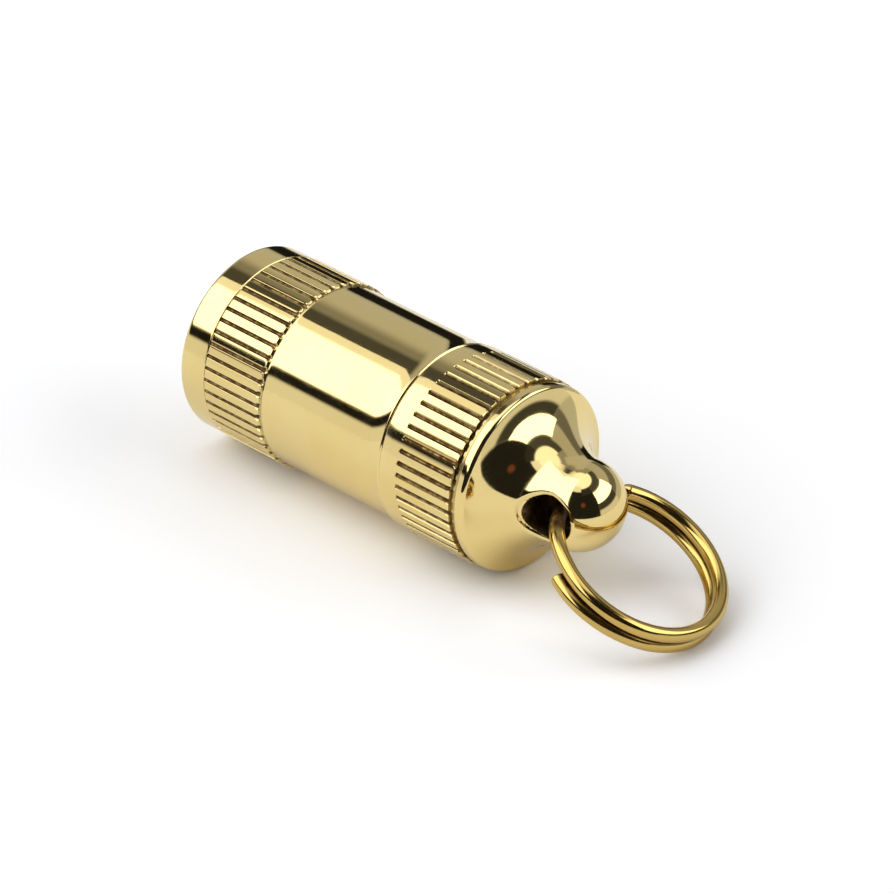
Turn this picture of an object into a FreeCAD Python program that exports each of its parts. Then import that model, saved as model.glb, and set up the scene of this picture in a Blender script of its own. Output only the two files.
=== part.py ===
import FreeCAD, Part
import math
import os

# Keychain flashlight, lying on its side: the lens faces -X, the split ring is at +X, Z is up.
# Each sub-part is first made on its own axis, the line y = 0, z = 0, with x = 0 at the front face.
# place() then moves it into the part's frame, whose origin is under the middle of the whole object.
# All lengths are millimetres, all angles degrees.

V = FreeCAD.Vector
X_AXIS = V(1, 0, 0)
Y_AXIS = V(0, 1, 0)
ORIGIN = V(0, 0, 0)

# Outside of the torch
LAND_R = 8.0            # over the lands of the fluted grips: 16 mm bar stock
RIM_R = 7.95            # smooth rim at the front
BARREL_R = 7.78         # plain barrel between the grips
FRONT_EDGE = 0.42       # rounding of the front edge
RIM_END = 2.96          # where the front grip begins
FRONT_GRIP_END = 9.12
FLARE_START = 21.1      # the barrel flares out to the tail cap from here
SEAM = 22.72            # joint face between barrel and tail cap
SEAM_GAP = 0.05
TAIL_GRIP_START = 24.75
TAIL_GRIP_END = 30.42
RELIEF_R = 7.7          # bottom of the relief groove behind the tail grip
BEAD_START = 31.05      # plain bead behind the relief groove
BEAD_R = 7.88
SHOULDER_X = 31.46      # centre of the rounding from the bead to the bell
SHOULDER_FILLET = 0.45
BELL_FILLET = 5.6       # concave sweep from the shoulder to the knob
KNOB_X = 37.02
KNOB_R = 3.82

# Flutes
FLUTES = 48
FLUTE_DEPTH = 0.2
FLUTE_WIDTH = 0.3
TAIL_FLUTE_TURN = -1.85  # how far the tail grip's flutes are turned from the front grip's, as screwed home

# Thread between barrel neck and tail cap
PITCH = 0.75
NECK_ROOT_R = 6.72
NECK_CREST_R = 7.1
CAP_ROOT_R = 7.18
CAP_CREST_R = 6.8
NECK_END = 28.4
THREAD_START = 24.95
THREAD_TURNS = 4
FLANK_SLOPE = math.tan(math.radians(30))
NECK_RIDGE_HALF = 0.3   # half the width of the neck's ridge at its root
FLANK_GAP = 0.05
ROOT_BITE = 0.06        # how far a ridge is let into the wall that carries it

# Bores
BORE_R = 6.25
APERTURE_R = 5.3
LIP = 1.2
CAP_COUNTERBORE_R = 7.35
CAP_COUNTERBORE_END = 24.78
CAP_FLOOR = 28.75
POCKET_R = 4.6
POCKET_END = 32.4

# Cross hole and split ring
HOLE_R = 1.95
HOLE_FLARE_FROM = 2.9   # the hole opens out from this far beside the axis
HOLE_FLARE_SLOPE = 0.3
RING_MEAN_R = 7.19
RING_WIRE_R = 0.62
RING_LAYER = 0.635      # each turn's distance from the ring's middle plane
RING_TILT = 30.7        # the ring's axis leans this far from upright
RING_HEADING = 18.0     # and towards this heading from +X
RING_CENTRE_Y = 0.1
RING_PAST_HOLE = 0.35   # the wire runs this far behind the hole's middle
RING_START = 73.0       # angle of the free end on the lower turn, from the hole
RING_JOG_START = 322.0  # the wire crosses from the lower to the upper turn between these
RING_JOG_END = 432.0
RING_STOP = 684.0
RING_END_LIFT = 0.28    # the free end on the lower turn springs out by this much

# Light engine, front to back
SLIP = 0.1              # radial room of the inner pieces in the bore
GASKET_SECTION_R = 0.34
LENS_THICKNESS = 1.2
LENS_X = LIP + 2 * GASKET_SECTION_R
REFLECTOR_X = LENS_X + LENS_THICKNESS
BOARD_X = 8.9
BOARD_THICKNESS = 0.8
LED_SIDE = 3.45
LED_HEIGHT = 0.6
LED_DOME_R = 1.4
PHOSPHOR_SIDE = 1.3
PHOSPHOR_HEIGHT = 0.12
TRACK_THICKNESS = 0.1
SNAP_RING_X = BOARD_X + BOARD_THICKNESS + TRACK_THICKNESS
SNAP_RING_THICKNESS = 0.6
SNAP_GROOVE_R = 6.55

# Cells: three of 11.6 mm by 5.4 mm
CELLS = 3
CELL_R = 5.8
CELL_HEIGHT = 5.4
CELL_CAN_HEIGHT = 5.1
CELL_CAP_R = 4.75
SLEEVE_X = SNAP_RING_X + SNAP_RING_THICKNESS + 0.05
SLEEVE_LIP = 0.35
SLEEVE_END = 27.0
CELLS_X = SLEEVE_X + SLEEVE_LIP
CELLS_END = CELLS_X + CELLS * CELL_HEIGHT

# Tail contact
BUSH_X = CAP_FLOOR + 0.05
BUSH_THICKNESS = 0.65
BUSH_HOLE_R = 2.95
PLUNGER_R = 2.6
PLUNGER_FLANGE_X = 29.6
PLUNGER_FLANGE_R = 4.1
PLUNGER_FLANGE = 0.4
CONTACT_GAP = 0.02
SPRING_WIRE_R = 0.25
SPRING_MEAN_R = 3.6
SPRING_TURNS = 3.0


class Outline:
    """A closed outline of lines and arcs, in the plane of x and radius."""

    def __init__(self, x, r):
        self.first = V(x, r, 0)
        self.last = self.first
        self.edges = []

    def line(self, x, r):
        end = V(x, r, 0)
        self.edges.append(Part.makeLine(self.last, end))
        self.last = end
        return self

    def arc(self, cx, cr, x, r):
        """A circular arc about (cx, cr) to (x, r), the short way round."""
        centre = V(cx, cr, 0)
        end = V(x, r, 0)
        radius = (self.last - centre).Length
        middle = (self.last + end) * 0.5 - centre
        middle.normalize()
        self.edges.append(Part.Arc(self.last, centre + middle * radius, end).toShape())
        self.last = end
        return self

    def face(self):
        self.line(self.first.x, self.first.y)
        return Part.Face(Part.Wire(self.edges))

    def revolve(self):
        return self.face().revolve(ORIGIN, X_AXIS, 360)


def tube(x, length, outer_r, inner_r=0.0):
    """A plain round bar or tube along X."""
    bar = Part.makeCylinder(outer_r, length, V(x, 0, 0), X_AXIS)
    if inner_r > 0:
        bar = bar.cut(Part.makeCylinder(inner_r, length, V(x, 0, 0), X_AXIS))
    return bar


def o_ring(x, mean_r, section_r):
    """A round ring of round section whose front touches x."""
    return Part.makeTorus(mean_r, section_r, V(x + section_r, 0, 0), X_AXIS)


def block(x, dx, y, dy, z, dz):
    """A box from x to x + dx, centred on y and z."""
    return Part.makeBox(dx, dy, dz, V(x, y - dy / 2, z - dz / 2))


def flute_cutters(x_start, x_end, turn=0.0):
    """Round-bottomed rods that cut the flutes of one grip, closed by a ball at the start."""
    radius = (FLUTE_WIDTH ** 2 / 4 + FLUTE_DEPTH ** 2) / (2 * FLUTE_DEPTH)
    height = LAND_R - FLUTE_DEPTH + radius
    rods = []
    for i in range(FLUTES):
        angle = 2 * math.pi * (i + 0.5) / FLUTES + math.radians(turn)
        y = height * math.cos(angle)
        z = height * math.sin(angle)
        rod = Part.makeCylinder(radius, x_end - x_start, V(x_start, y, z), X_AXIS)
        rods.append(rod.fuse(Part.makeSphere(radius, V(x_start, y, z))))
    return Part.makeCompound(rods)


def thread_ridge(root_r, crest_r, half_root, x_start, turns):
    """A right-hand helical ridge about X, with its foot let into the wall that carries it."""
    out = math.copysign(1, crest_r - root_r)
    foot_r = root_r - out * ROOT_BITE
    half_foot = half_root + ROOT_BITE * FLANK_SLOPE
    half_crest = half_root - abs(crest_r - root_r) * FLANK_SLOPE
    helix = Part.makeHelix(PITCH, PITCH * turns, foot_r)
    corners = [
        V(foot_r, 0, -half_foot),
        V(crest_r, 0, -half_crest),
        V(crest_r, 0, half_crest),
        V(foot_r, 0, half_foot),
    ]
    profile = Part.makePolygon(corners + corners[:1])
    ridge = Part.Wire(helix.Edges).makePipeShell([profile], True, True)
    ridge.rotate(ORIGIN, Y_AXIS, 90)
    ridge.translate(V(x_start, 0, 0))
    return ridge


def bell_fillet_centre():
    """Centre of the concave sweep that touches both the shoulder rounding and the knob."""
    shoulder = (SHOULDER_X, BEAD_R - SHOULDER_FILLET)
    from_shoulder = SHOULDER_FILLET + BELL_FILLET
    from_knob = KNOB_R + BELL_FILLET
    dx = KNOB_X - shoulder[0]
    dr = -shoulder[1]
    span = math.hypot(dx, dr)
    along = (from_shoulder ** 2 - from_knob ** 2 + span ** 2) / (2 * span)
    aside = math.sqrt(from_shoulder ** 2 - along ** 2)
    x = shoulder[0] + (along * dx - aside * dr) / span
    r = shoulder[1] + (along * dr + aside * dx) / span
    return x, r


# ---- outer pieces -------------------------------------------------------------------------

def body_tube():
    """One turned piece: rim, front grip, barrel and the threaded neck for the tail cap."""
    flare_dx = 1.5
    flare_dr = 0.17
    flare_r = (flare_dx ** 2 + flare_dr ** 2) / (2 * flare_dr)
    cove = LAND_R - BARREL_R
    outline = Outline(0, 5.95)
    outline.line(0, RIM_R - FRONT_EDGE)
    outline.arc(FRONT_EDGE, RIM_R - FRONT_EDGE, FRONT_EDGE, RIM_R)
    outline.line(RIM_END - 0.2, RIM_R)
    outline.line(RIM_END - 0.1, RIM_R - 0.15)
    outline.line(RIM_END, LAND_R)
    outline.line(FRONT_GRIP_END, LAND_R)
    outline.arc(FRONT_GRIP_END + cove + 0.1, LAND_R + 0.1, FRONT_GRIP_END + cove + 0.1, BARREL_R)
    outline.line(FLARE_START, BARREL_R)
    outline.arc(FLARE_START, BARREL_R + flare_r, FLARE_START + flare_dx, BARREL_R + flare_dr)
    outline.line(SEAM, BARREL_R + flare_dr - 0.12)
    outline.line(SEAM, CAP_COUNTERBORE_R - 0.07)
    outline.line(23.05, CAP_COUNTERBORE_R - 0.07)
    outline.line(23.05, 6.75)
    outline.line(24.05, 6.75)
    outline.line(24.05, CAP_COUNTERBORE_R - 0.07)
    outline.line(24.4, CAP_COUNTERBORE_R - 0.07)
    outline.line(24.65, NECK_ROOT_R)
    outline.line(NECK_END - 0.15, NECK_ROOT_R)
    outline.line(NECK_END, NECK_ROOT_R - 0.15)
    outline.line(NECK_END, BORE_R)
    outline.line(SNAP_RING_X + SNAP_RING_THICKNESS, BORE_R)
    outline.line(SNAP_RING_X + SNAP_RING_THICKNESS, SNAP_GROOVE_R)
    outline.line(SNAP_RING_X, SNAP_GROOVE_R)
    outline.line(SNAP_RING_X, BORE_R)
    outline.line(LIP, BORE_R)
    outline.line(LIP, APERTURE_R)
    outline.line(0.7, APERTURE_R)
    solid = outline.revolve()
    solid = solid.cut(flute_cutters(RIM_END - 0.1, FRONT_GRIP_END + 0.5))
    ridge = thread_ridge(NECK_ROOT_R, NECK_CREST_R, NECK_RIDGE_HALF, THREAD_START, THREAD_TURNS)
    return solid.fuse(ridge)


def tail_cap():
    """Threaded cap with collar, grip, bead, bell and a ball knob drilled for the ring."""
    fx, fr = bell_fillet_centre()
    shoulder_r = BEAD_R - SHOULDER_FILLET
    to_fillet = math.atan2(fr - shoulder_r, fx - SHOULDER_X)
    to_knob = math.atan2(fr, fx - KNOB_X)
    shoulder_end = (
        SHOULDER_X + SHOULDER_FILLET * math.cos(to_fillet),
        shoulder_r + SHOULDER_FILLET * math.sin(to_fillet),
    )
    knob_start = (KNOB_X + KNOB_R * math.cos(to_knob), KNOB_R * math.sin(to_knob))
    front = SEAM + SEAM_GAP
    outline = Outline(front, CAP_COUNTERBORE_R)
    outline.line(front, LAND_R - 0.14)
    outline.line(front + 0.14, LAND_R)
    outline.line(TAIL_GRIP_END, LAND_R)
    outline.line(TAIL_GRIP_END + 0.06, RELIEF_R)
    outline.line(BEAD_START - 0.14, RELIEF_R)
    outline.line(BEAD_START, BEAD_R)
    outline.line(SHOULDER_X, BEAD_R)
    outline.arc(SHOULDER_X, shoulder_r, *shoulder_end)
    outline.arc(fx, fr, *knob_start)
    outline.arc(KNOB_X, 0, KNOB_X + KNOB_R, 0)
    outline.line(POCKET_END, 0)
    outline.line(POCKET_END, POCKET_R)
    outline.line(CAP_FLOOR, POCKET_R)
    outline.line(CAP_FLOOR, CAP_ROOT_R)
    outline.line(CAP_COUNTERBORE_END, CAP_ROOT_R)
    outline.line(CAP_COUNTERBORE_END - 0.17, CAP_COUNTERBORE_R)
    solid = outline.revolve()
    solid = solid.cut(flute_cutters(TAIL_GRIP_START, TAIL_GRIP_END + 0.3, TAIL_FLUTE_TURN))
    solid = solid.cut(cross_hole())
    # The cap's ridge fills the neck's groove, less FLANK_GAP on each side.
    groove_half = PITCH / 2 - NECK_RIDGE_HALF + (CAP_ROOT_R - NECK_ROOT_R) * FLANK_SLOPE
    half_root = groove_half - FLANK_GAP
    ridge = thread_ridge(CAP_ROOT_R, CAP_CREST_R, half_root, THREAD_START + PITCH / 2, THREAD_TURNS)
    return solid.fuse(ridge)


def cross_hole():
    """The drill through the knob, along Y, opening out a little at both ends."""
    reach = KNOB_R + 2
    flare_r = HOLE_R + HOLE_FLARE_SLOPE * (reach - HOLE_FLARE_FROM)
    drill = Part.makeCylinder(HOLE_R, 2 * reach, V(KNOB_X, -reach, 0), Y_AXIS)
    for side in (-1, 1):
        start = V(KNOB_X, side * HOLE_FLARE_FROM, 0)
        flare = Part.makeCone(HOLE_R, flare_r, reach - HOLE_FLARE_FROM, start, Y_AXIS * side)
        drill = drill.fuse(flare)
    return drill


def ring_axes():
    """The ring's centre, its axis, the direction to the hole, and the direction across it.

    The ring rests on the ground, and its wire passes behind the middle of the cross hole."""
    tilt = math.radians(RING_TILT)
    heading = math.radians(RING_HEADING)
    axis = V(
        math.sin(tilt) * math.cos(heading), math.sin(tilt) * math.sin(heading), math.cos(tilt)
    )
    drop = RING_MEAN_R * math.sin(tilt) + RING_LAYER * math.cos(tilt) + RING_WIRE_R
    z = drop - LAND_R
    x = KNOB_X + math.sqrt((RING_MEAN_R - RING_PAST_HOLE) ** 2 - z ** 2)
    centre = V(x, RING_CENTRE_Y, z)
    to_hole = V(KNOB_X, 0, 0) - centre
    to_hole = to_hole - axis * to_hole.dot(axis)
    to_hole.normalize()
    across = axis.cross(to_hole)
    return centre, axis, to_hole, across


def smooth_step(t):
    t = min(max(t, 0.0), 1.0)
    return t * t * (3 - 2 * t)


def ring_point(degrees):
    """The wire's centre line: lower turn, a slanting cross-over in the hole, upper turn."""
    centre, axis, to_hole, across = ring_axes()
    a = math.radians(degrees)
    jog = smooth_step((degrees - RING_JOG_START) / (RING_JOG_END - RING_JOG_START))
    layer = RING_LAYER * (2 * jog - 1)
    spring_out = RING_END_LIFT * smooth_step((RING_START + 60 - degrees) / 60)
    radius = RING_MEAN_R + spring_out
    return centre + (to_hole * math.cos(a) + across * math.sin(a)) * radius + axis * layer


def split_ring():
    """Round wire wound in two turns, so that keys can be worked on between them."""
    steps = 72
    span = RING_STOP - RING_START
    points = [ring_point(RING_START + span * i / steps) for i in range(steps + 1)]
    curve = Part.BSplineCurve()
    curve.interpolate(points)
    path = Part.Wire(curve.toShape())
    start = curve.value(curve.FirstParameter)
    heading = curve.tangent(curve.FirstParameter)[0]
    section = Part.Wire(Part.makeCircle(RING_WIRE_R, start, heading))
    wire = path.makePipeShell([section], True, False)
    ends = [e for e in wire.Edges if is_wire_end(e)]
    return wire.makeFillet(RING_WIRE_R * 0.35, ends)


def is_wire_end(edge):
    """True for the round edges of the two cut ends."""
    return abs(edge.Length - 2 * math.pi * RING_WIRE_R) < 0.05


# ---- light engine ---------------------------------------------------------------------------

def lens():
    r = BORE_R - SLIP
    edge = 0.15
    outline = Outline(LENS_X, 0)
    outline.line(LENS_X, r - edge)
    outline.line(LENS_X + edge, r)
    outline.line(LENS_X + LENS_THICKNESS - edge, r)
    outline.line(LENS_X + LENS_THICKNESS, r - edge)
    outline.line(LENS_X + LENS_THICKNESS, 0)
    return outline.revolve()


def lens_gasket():
    return o_ring(LIP, BORE_R - SLIP - GASKET_SECTION_R, GASKET_SECTION_R)


def reflector():
    """A thin parabolic cup on a rim at the lens, with a skirt that stands on the board."""
    outer_r = BORE_R - SLIP
    mouth_r = 5.5
    throat_r = 1.9
    depth = BOARD_X - LED_HEIGHT - 0.15 - REFLECTOR_X
    wall = 0.4
    steps = 10
    focal = (mouth_r ** 2 - throat_r ** 2) / (4 * depth)
    inner = []
    for i in range(steps + 1):
        x = REFLECTOR_X + depth * i / steps
        r = math.sqrt(mouth_r ** 2 - 4 * focal * depth * i / steps)
        inner.append(V(x, r, 0))
    outer = [p + V(0.05, wall, 0) for p in inner[2:]]
    outer[-1] = V(inner[-1].x, throat_r + wall, 0)
    curve_in = Part.BSplineCurve()
    curve_in.interpolate(inner)
    curve_out = Part.BSplineCurve()
    curve_out.interpolate(outer[::-1])
    skirt_r = outer_r - 0.35
    corners = [
        outer[0],
        V(outer[0].x, skirt_r, 0),
        V(BOARD_X, skirt_r, 0),
        V(BOARD_X, outer_r, 0),
        V(REFLECTOR_X, outer_r, 0),
        inner[0],
    ]
    edges = [curve_in.toShape(), Part.makeLine(inner[-1], outer[-1]), curve_out.toShape()]
    for a, b in zip(corners, corners[1:]):
        edges.append(Part.makeLine(a, b))
    return Part.Face(Part.Wire(edges)).revolve(ORIGIN, X_AXIS, 360)


def led_base():
    """Ceramic base with one bevelled corner that marks its polarity."""
    base = block(BOARD_X - LED_HEIGHT, LED_HEIGHT, 0, LED_SIDE, 0, LED_SIDE)
    mark = block(BOARD_X - LED_HEIGHT, LED_HEIGHT, 0, 0.6, 0, 0.6)
    mark.rotate(ORIGIN, X_AXIS, 45)
    mark.translate(V(0, LED_SIDE / 2, LED_SIDE / 2))
    return base.cut(mark)


def led_phosphor():
    x = BOARD_X - LED_HEIGHT - PHOSPHOR_HEIGHT
    return block(x, PHOSPHOR_HEIGHT, 0, PHOSPHOR_SIDE, 0, PHOSPHOR_SIDE)


def led_dome():
    """Clear dome moulded over the phosphor."""
    x = BOARD_X - LED_HEIGHT
    ball = Part.makeSphere(LED_DOME_R, V(x, 0, 0))
    front = Part.makeBox(LED_DOME_R, 4, 4, V(x - LED_DOME_R, -2, -2))
    return ball.common(front).cut(led_phosphor())


def led_board():
    """Round board with two assembly notches, one for each end of the jig."""
    board = tube(BOARD_X, BOARD_THICKNESS, BORE_R - SLIP)
    for side in (-1, 1):
        board = board.cut(tube(BOARD_X, BOARD_THICKNESS, 0.5).translated(V(0, side * 6.0, 0)))
    return board.cut(tube(BOARD_X, BOARD_THICKNESS, 0.55))


def ground_track():
    return tube(BOARD_X + BOARD_THICKNESS, TRACK_THICKNESS, BORE_R - 0.9, BORE_R - 1.6)


def contact_rivet():
    """Rivet through the board; the front cell presses on its round head."""
    back = BOARD_X + BOARD_THICKNESS
    outline = Outline(BOARD_X, 0)
    outline.line(BOARD_X, 0.5)
    outline.line(back, 0.5)
    outline.line(back, 1.6)
    outline.line(CELLS_X - 0.6, 1.6)
    outline.arc(CELLS_X - 0.6, 1.0, CELLS_X, 1.0)
    outline.line(CELLS_X, 0)
    return outline.revolve()


def resistor():
    return block(BOARD_X + BOARD_THICKNESS, 0.45, 3.1, 0.85, 0, 1.1)


def resistor_ends():
    """The two soldered end caps of the chip resistor."""
    ends = []
    for side in (-1, 1):
        ends.append(block(BOARD_X + BOARD_THICKNESS, 0.5, 3.1, 0.85, side * 0.75, 0.4))
    return Part.makeCompound(ends)


def snap_ring():
    """Internal snap ring with two drilled lugs, in the groove behind the board."""
    outer_r = SNAP_GROOVE_R - 0.04
    inner_r = 5.65
    ring = tube(SNAP_RING_X, SNAP_RING_THICKNESS, outer_r, inner_r)
    ring = ring.cut(block(SNAP_RING_X, SNAP_RING_THICKNESS, 0, 2.4, -6, 4))
    for side in (-1, 1):
        y = side * 1.75
        lug = tube(SNAP_RING_X, SNAP_RING_THICKNESS, 0.8).translated(V(0, y, -5.35))
        ring = ring.fuse(lug)
    for side in (-1, 1):
        y = side * 1.75
        ring = ring.cut(tube(SNAP_RING_X, SNAP_RING_THICKNESS, 0.35).translated(V(0, y, -5.3)))
    return ring.removeSplitter()


def insulating_sleeve():
    """Plastic sleeve that keeps the cells off the brass, with a lip in front of them."""
    outer_r = BORE_R - 0.05
    outline = Outline(SLEEVE_X, 4.9)
    outline.line(SLEEVE_X, outer_r)
    outline.line(SLEEVE_END, outer_r)
    outline.line(SLEEVE_END, CELL_R + 0.05)
    outline.line(CELLS_X, CELL_R + 0.05)
    outline.line(CELLS_X, 4.9)
    return outline.revolve()


# ---- cells ------------------------------------------------------------------------------------

def cell_can(x):
    """Positive can, drawn to a round base and crimped over the gasket."""
    wall = 0.25
    corner = 0.5
    top = x + CELL_CAN_HEIGHT
    outline = Outline(x, 0)
    outline.line(x, CELL_R - corner)
    outline.arc(x + corner, CELL_R - corner, x + corner, CELL_R)
    outline.line(top - corner, CELL_R)
    outline.arc(top - corner, CELL_R - corner, top, CELL_R - corner)
    outline.line(top - wall, CELL_R - corner)
    outline.line(top - corner, CELL_R - wall)
    outline.line(x + wall, CELL_R - wall)
    outline.line(x + wall, 0)
    return outline.revolve()


def cell_gasket(x):
    """Sealing ring that shows as a thin line between the can and the cap."""
    wall = 0.25
    corner = 0.5
    top = x + CELL_CAN_HEIGHT
    outline = Outline(x + wall, CELL_CAP_R)
    outline.line(top + 0.08, CELL_CAP_R)
    outline.line(top + 0.08, CELL_R - corner)
    outline.line(top - wall, CELL_R - corner)
    outline.line(top - corner, CELL_R - wall)
    outline.line(x + wall, CELL_R - wall)
    return outline.revolve()


def cell_cap(x):
    """Negative cap with a raised flat middle."""
    top = x + CELL_HEIGHT
    outline = Outline(x + 0.25, 0)
    outline.line(x + 0.25, CELL_CAP_R)
    outline.line(top - 0.35, CELL_CAP_R)
    outline.arc(top - 0.35, CELL_CAP_R - 0.35, top, CELL_CAP_R - 0.35)
    outline.line(top, 0)
    return outline.revolve()


# ---- tail contact -------------------------------------------------------------------------------

def neck_o_ring():
    """Sealing ring in the neck's groove; it fills the room up to the cap's counterbore."""
    section_r = 0.29
    return o_ring(23.26, 6.76 + section_r, section_r)


def plunger_bush():
    """Ring pressed into the cap's pocket; it stops the plunger's flange."""
    return tube(BUSH_X, BUSH_THICKNESS, POCKET_R - 0.005, BUSH_HOLE_R)


def contact_plunger():
    """Turned contact that the spring holds against the last cell."""
    tip = CELLS_END + CONTACT_GAP
    outline = Outline(tip, 0)
    outline.line(tip, PLUNGER_R - 0.4)
    outline.line(tip + 0.4, PLUNGER_R)
    outline.line(PLUNGER_FLANGE_X, PLUNGER_R)
    outline.line(PLUNGER_FLANGE_X, PLUNGER_FLANGE_R)
    outline.line(PLUNGER_FLANGE_X + PLUNGER_FLANGE, PLUNGER_FLANGE_R)
    outline.line(PLUNGER_FLANGE_X + PLUNGER_FLANGE, 0)
    return outline.revolve()


def tail_spring():
    """Short compression spring between the plunger's flange and the pocket's floor."""
    start = PLUNGER_FLANGE_X + PLUNGER_FLANGE + SPRING_WIRE_R + 0.01
    stop = POCKET_END - SPRING_WIRE_R - 0.02
    helix = Part.makeHelix((stop - start) / SPRING_TURNS, stop - start, SPRING_MEAN_R)
    section = Part.Wire(Part.makeCircle(SPRING_WIRE_R, V(SPRING_MEAN_R, 0, 0), Y_AXIS))
    coil = Part.Wire(helix.Edges).makePipeShell([section], True, True)
    coil.rotate(ORIGIN, Y_AXIS, 90)
    coil.translate(V(start, 0, 0))
    return coil


# ---- placing and writing ------------------------------------------------------------------------

def frame_shift():
    """From the torch's own axis to the origin under the middle of the whole object."""
    centre, axis, _, _ = ring_axes()
    ring_reach = RING_MEAN_R * math.sqrt(1 - axis.x ** 2) + RING_LAYER * axis.x + RING_WIRE_R
    length = centre.x + ring_reach
    return V(-length / 2, 0, LAND_R)


def sub_parts():
    parts = {
        "body_tube": body_tube(),
        "tail_cap": tail_cap(),
        "split_ring": split_ring(),
        "lens": lens(),
        "lens_gasket": lens_gasket(),
        "reflector": reflector(),
        "led_base": led_base(),
        "led_phosphor": led_phosphor(),
        "led_dome": led_dome(),
        "led_board": led_board(),
        "ground_track": ground_track(),
        "contact_rivet": contact_rivet(),
        "resistor": resistor(),
        "resistor_ends": resistor_ends(),
        "snap_ring": snap_ring(),
        "insulating_sleeve": insulating_sleeve(),
        "neck_o_ring": neck_o_ring(),
        "plunger_bush": plunger_bush(),
        "contact_plunger": contact_plunger(),
        "tail_spring": tail_spring(),
    }
    for i in range(CELLS):
        x = CELLS_X + i * CELL_HEIGHT
        parts["cell_%d_can" % (i + 1)] = cell_can(x)
        parts["cell_%d_gasket" % (i + 1)] = cell_gasket(x)
        parts["cell_%d_cap" % (i + 1)] = cell_cap(x)
    return parts


def main():
    os.makedirs("parts", exist_ok=True)
    shift = frame_shift()
    for name, shape in sub_parts().items():
        shape.translate(shift)
        shape.exportStep("parts/%s.step" % name)
        box = shape.BoundBox
        print(
            "%-18s solids %d valid %s volume %8.2f  x %.2f %.2f  z %.2f %.2f"
            % (name, len(shape.Solids), shape.isValid(), shape.Volume, box.XMin, box.XMax, box.ZMin, box.ZMax)
        )


main()
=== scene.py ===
import math

import bmesh
import bpy
import numpy as np
from mathutils import Matrix, Vector

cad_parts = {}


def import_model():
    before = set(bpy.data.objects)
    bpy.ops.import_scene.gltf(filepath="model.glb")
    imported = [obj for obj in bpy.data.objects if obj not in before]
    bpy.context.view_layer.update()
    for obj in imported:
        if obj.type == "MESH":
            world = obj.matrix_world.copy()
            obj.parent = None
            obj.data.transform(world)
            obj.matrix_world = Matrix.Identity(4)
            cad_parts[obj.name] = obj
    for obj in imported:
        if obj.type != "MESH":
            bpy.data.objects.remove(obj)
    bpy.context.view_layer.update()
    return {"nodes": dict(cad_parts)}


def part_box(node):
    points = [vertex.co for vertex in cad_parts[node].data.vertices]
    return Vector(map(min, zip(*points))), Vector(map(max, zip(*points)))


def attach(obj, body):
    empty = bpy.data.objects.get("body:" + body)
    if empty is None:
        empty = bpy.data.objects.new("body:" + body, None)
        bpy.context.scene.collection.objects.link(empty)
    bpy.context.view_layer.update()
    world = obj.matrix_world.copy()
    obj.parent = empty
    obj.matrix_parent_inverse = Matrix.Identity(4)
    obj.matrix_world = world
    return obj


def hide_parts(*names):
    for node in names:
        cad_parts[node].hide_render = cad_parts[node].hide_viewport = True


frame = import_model()

# The outer pieces are built in the torch's own axis in millimetres: x from the front face, the
# axis on y = z = 0. place() takes them into the frame, in metres.
MM = 0.001
AXIS_Z = 8.0
FRONT_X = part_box("body_tube")[0].x / MM

# Outside of the torch
LAND_R = 8.0
RIM_R = 7.95
BARREL_R = 7.78
FRONT_EDGE = 0.42       # rounding of the rim's front corner
RIM_END = 2.96
FRONT_GRIP_END = 9.12
COVE_OVER_LAND = 0.1    # the cove behind the front grip has its centre this far above the lands
FLARE_START = 21.1
FLARE_LENGTH = 1.5
FLARE_RISE = 0.17
SEAM = 22.72
SEAM_GAP = 0.05
TAIL_GRIP_START = 24.75
TAIL_GRIP_END = 30.42
BEAD_START = 31.05
BEAD_R = 7.88
SHOULDER_X = 31.46
SHOULDER_FILLET = 0.45
BELL_FILLET = 5.6
KNOB_X = 37.02
KNOB_R = 3.82
HOLE_R = 1.95
HOLE_FLARE_FROM = 2.9   # the hole opens out from this far beside the axis
HOLE_FLARE_SLOPE = 0.3
HOLE_ROUND = 0.42       # rounding of the hole's rim
HOLE_BAR_REACH = 5.8    # the cutting bar's half length

# Flutes
FLUTES = 48
FLUTE_DEPTH = 0.2
FLUTE_R = 0.15625
FLUTE_TOP = LAND_R - FLUTE_DEPTH + FLUTE_R
LAND_ROUND = 0.035
TAIL_FLUTE_TURN = -1.85  # degrees that the tail grip's flutes are turned from the front grip's

# Thread
PITCH = 0.75
NECK_ROOT_R = 6.72
NECK_CREST_R = 7.1
NECK_RIDGE_HALF = 0.3
CAP_ROOT_R = 7.18
CAP_CREST_R = 6.8
CAP_RIDGE_HALF = 0.29
THREAD_START = 24.95
THREAD_TURNS = 4
THREAD_STEP = 0.035     # spacing of the rows along a thread
NECK_END = 28.4
COUNTERBORE_R = 7.35
COUNTERBORE_END = 24.61
CAP_THREAD_START = 24.78
NECK_R = COUNTERBORE_R - 0.07
O_RING_GROOVE = (23.05, 24.05, 6.75)
NECK_CHAMFER = (24.4, 24.65)

# Bores
BORE_R = 6.25
SNAP_GROOVE_R = 6.55
SNAP_GROOVE_X = 9.8
SNAP_GROOVE_END = 10.4
APERTURE_R = 5.3
MOUTH_R = 5.95
MOUTH_DEPTH = 0.7
LIP = 1.2
CAP_FLOOR = 28.75
POCKET_R = 4.6
POCKET_END = 32.4

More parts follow.
